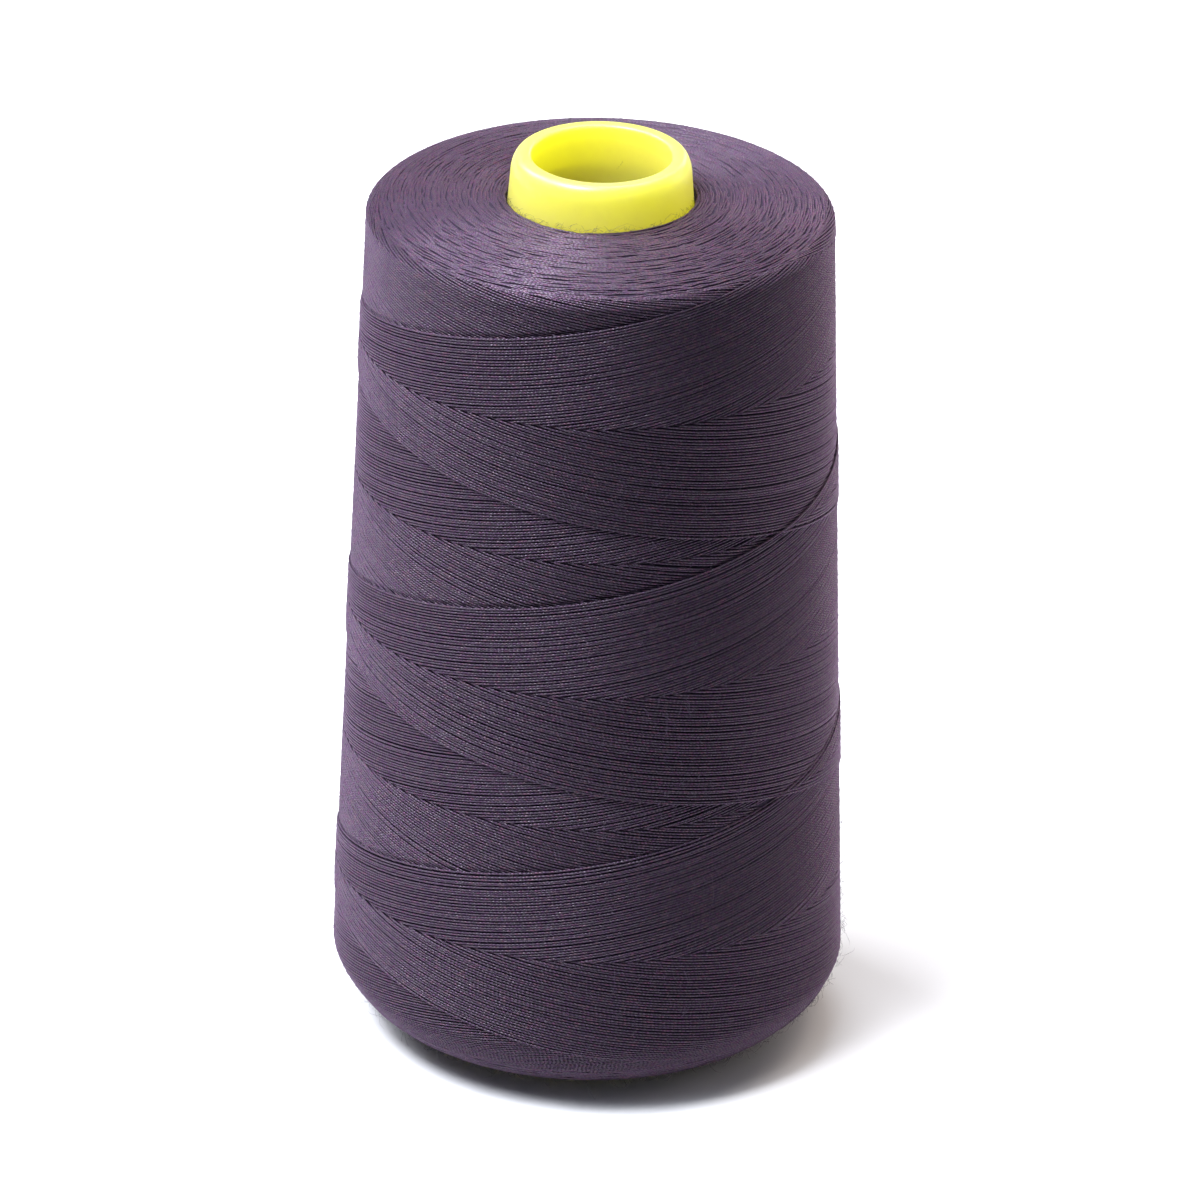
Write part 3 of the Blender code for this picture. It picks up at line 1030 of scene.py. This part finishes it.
def hair_mesh(name, stops, radius, material):
    """One mesh of closed spindles. stops has four places for each: root, two bends and tip."""
    count = len(stops)
    heading = stops[:, 2] - stops[:, 1]
    heading /= np.linalg.norm(heading, axis=1)[:, None]
    side = np.cross(heading, stops[:, 0])
    side /= np.linalg.norm(side, axis=1)[:, None]
    other = np.cross(heading, side)
    turns = np.arange(HAIR_SIDES) * 2.0 * math.pi / HAIR_SIDES
    sideways = side[:, None] * np.cos(turns)[None, :, None]
    ring = sideways + other[:, None] * np.sin(turns)[None, :, None]
    lower = stops[:, None, 1] + ring * radius
    upper = stops[:, None, 2] + ring * radius * HAIR_TAPER
    points = np.concatenate([stops[:, None, 0], lower, upper, stops[:, None, 3]], 1)
    corners = points.shape[1]
    base = np.arange(count)[:, None] * corners
    here = np.arange(HAIR_SIDES)
    there = (here + 1) % HAIR_SIDES
    low, high = base + 1, base + 1 + HAIR_SIDES
    quads = np.stack([low + here, low + there, high + there, high + here], -1)
    first = np.broadcast_to(base, (count, HAIR_SIDES))
    last = np.broadcast_to(base + corners - 1, (count, HAIR_SIDES))
    roots = np.stack([first, low + there, low + here], -1)
    tips = np.stack([high + here, high + there, last], -1)
    cells = math.ceil(math.sqrt(count))
    column, row = np.arange(count) % cells, np.arange(count) // cells
    left = here / HAIR_SIDES
    right = (here + 1) / HAIR_SIDES
    middle = (here + 0.5) / HAIR_SIDES

    def mapped(along, around):
        """Corners of each hair's faces in its own cell of the map."""
        filled = CELL_FILL * np.array(along)[None, None, :]
        u = (column[:, None, None] + CELL_MARGIN + filled) / cells
        v = (row[:, None, None] + CELL_MARGIN + CELL_FILL * np.stack(around, -1)[None]) / cells
        u = np.broadcast_to(u, (count, HAIR_SIDES, len(along)))
        return np.stack([u, np.broadcast_to(v, u.shape)], -1).reshape(-1, 2)

    bends = (LOW_BEND, LOW_BEND, HIGH_BEND, HIGH_BEND)
    quad_map = mapped(bends, (left, right, right, left))
    root_map = mapped((0.0, LOW_BEND, LOW_BEND), (middle, right, left))
    tip_map = mapped((HIGH_BEND, HIGH_BEND, 1.0), (left, right, middle))
    end_map = np.concatenate([root_map, tip_map])
    ends = np.concatenate([roots.reshape(-1, 3), tips.reshape(-1, 3)])
    faces = [(quads.reshape(-1, 4), ends)]
    maps = [[quad_map, end_map]]
    return tube_object(name, [points.reshape(-1, 3)], faces, maps, maps, material)


print("each hair has", HAIR_SIDES, "sides")

# %% Grow the fuzz
HAIRS = 14000
CORE_HAIRS = 400
CORE_HAIR_BAND = 0.8 * MM
HAIR_RADIUS = 0.016 * MM
HAIR_LENGTH = 1.10 * MM
HAIR_SPREAD = 0.45
HAIR_RISE = (0.12, 0.85)
HAIR_CURL = 0.25
HAIR_SHAPE = ((0.35, 0.45, 0.3), (0.7, 0.75, 0.8), (1.0, 0.7, 1.6))
LOWEST_HAIR = 0.05 * MM
HAIR_COLOUR = (0.085, 0.055, 0.10, 1.0)
HAIR_ROUGHNESS = 0.4


def hair_stops(count):
    """Root, two bends and tip of each hair. The first ones stand by the core, the rest evenly."""
    azimuth = rng.uniform(0.0, 360.0, 2 * count)
    lay = rng.uniform(LAY_UNDER, LAY_AT_CORE, 2 * count)
    chosen = rng.uniform(0.0, BASE_RADIUS, 2 * count) < on_outline(outline[:, 0], lay)
    azimuth, lay = azimuth[chosen][:count], lay[chosen][:count]
    lay[:CORE_HAIRS] = rng.uniform(LAY_AT_CORE - CORE_HAIR_BAND, LAY_AT_CORE, CORE_HAIRS)
    root, normal = winding_point(azimuth, lay, relief(azimuth, lay) - THREAD_HIGH)
    east, south = np.sin(np.radians(azimuth)), -np.cos(np.radians(azimuth))
    level = np.stack([south, -east, np.zeros(count)], -1)
    upward = np.cross(level, normal)
    turn = rng.uniform(0.0, 2.0 * math.pi, count)[:, None]
    flat = level * np.cos(turn) + upward * np.sin(turn)
    across = np.cross(normal, flat)
    length = HAIR_LENGTH * np.exp(HAIR_SPREAD * rng.standard_normal(count))[:, None]
    rise = rng.uniform(*HAIR_RISE, count)[:, None]
    curl = rng.normal(0.0, HAIR_CURL, count)[:, None]
    stops = [root]
    for share, lifted, bent in HAIR_SHAPE:
        place = root + normal * (THREAD_HIGH + length * rise * lifted)
        stops.append(place + (flat * share + across * curl * bent) * length)
    stops = np.stack(stops, 1)
    stops[..., 2] = np.maximum(stops[..., 2], LOWEST_HAIR)
    return stops


lint_material, _, lint_shader = new_material("stray_fibre")
lint_shader.inputs["Base Color"].default_value = HAIR_COLOUR
lint_shader.inputs["Roughness"].default_value = HAIR_ROUGHNESS
fuzz = hair_mesh("fuzz", hair_stops(HAIRS), HAIR_RADIUS, lint_material)
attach(fuzz, "root")
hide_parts("winding")

# %% [markdown]
# ## The core
#
# The core is one injection-moulded tube. Only its lip shows above the thread: bright, a little
# translucent, with a soft rounded rim. Light spreads far in thin plastic like this, red and green
# much further than blue, so its shaded parts turn a deeper yellow.

# %% Mould the core
CORE_TOP_WALL = 2.4 * MM
CORE_FOOT_WALL = 1.6 * MM
CORE_LIP_WIDTH = 1.1 * MM
CORE_LIP_DROP = 2.3 * MM
CORE_BORE_ROUND = 0.4 * MM
CORE_FOOT_ROUND = 0.3 * MM
CORE_STEPS = 160
LIP_STEPS = 12
WALL_STEPS = 25
CORE_COLOUR = (0.81, 0.735, 0.12, 1.0)
CORE_ROUGHNESS = 0.36
CORE_GLOSS = 0.8
CORE_TRANSLUCENCE = 0.9
CORE_SPREAD = (1.0, 0.95, 0.22)
CORE_SPREAD_SIZE = 16.0 * MM


def core_section():
    """(radius, height) round the core's wall: outside, foot, bore and lip."""
    top_bore = CORE_TOP_RADIUS - CORE_TOP_WALL
    foot_bore = CORE_FOOT_RADIUS - CORE_FOOT_WALL
    turns = np.radians(np.linspace(0.0, 90.0, LIP_STEPS + 1))
    height = CORE_HEIGHT - CORE_LIP_DROP * (1.0 - np.cos(turns))
    radius = core_outer_radius(height) - CORE_LIP_WIDTH * (1.0 - np.sin(turns))
    outer_lip = np.stack([radius, height], 1)
    radius = top_bore + CORE_BORE_ROUND * (1.0 - np.cos(turns))
    inner_lip = np.stack([radius, CORE_HEIGHT - CORE_BORE_ROUND * (1.0 - np.sin(turns))], 1)
    down = np.linspace(height[-1], CORE_FOOT_ROUND, WALL_STEPS)[1:]
    outside = np.stack([core_outer_radius(down), down], 1)
    up = np.linspace(CORE_FOOT_ROUND, CORE_HEIGHT - CORE_BORE_ROUND, WALL_STEPS)[:-1]
    inside = np.stack([foot_bore + (top_bore - foot_bore) * up / CORE_HEIGHT, up], 1)
    foot = np.array([[CORE_FOOT_RADIUS - CORE_FOOT_ROUND, 0.0], [foot_bore + CORE_FOOT_ROUND, 0.0]])
    return np.concatenate([outer_lip, outside, foot, inside, inner_lip[:-1]])


core_material, _, core_shader = new_material("yellow_plastic")
core_shader.inputs["Base Color"].default_value = CORE_COLOUR
core_shader.inputs["Roughness"].default_value = CORE_ROUGHNESS
core_shader.inputs["Specular IOR Level"].default_value = CORE_GLOSS
core_shader.inputs["Subsurface Weight"].default_value = CORE_TRANSLUCENCE
core_shader.inputs["Subsurface Radius"].default_value = CORE_SPREAD
core_shader.inputs["Subsurface Scale"].default_value = CORE_SPREAD_SIZE

section = core_section()
core_sections = []
for step in range(CORE_STEPS):
    turn = 2.0 * math.pi * step / CORE_STEPS
    east, south = section[:, 0] * math.sin(turn), -section[:, 0] * math.cos(turn)
    core_sections.append(np.stack([east, south, section[:, 1]], 1))
core_tube = turned_mesh("core_tube", core_sections, core_material)
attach(core_tube, "root")
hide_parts("core")
print("core:", len(core_tube.data.polygons), "faces")
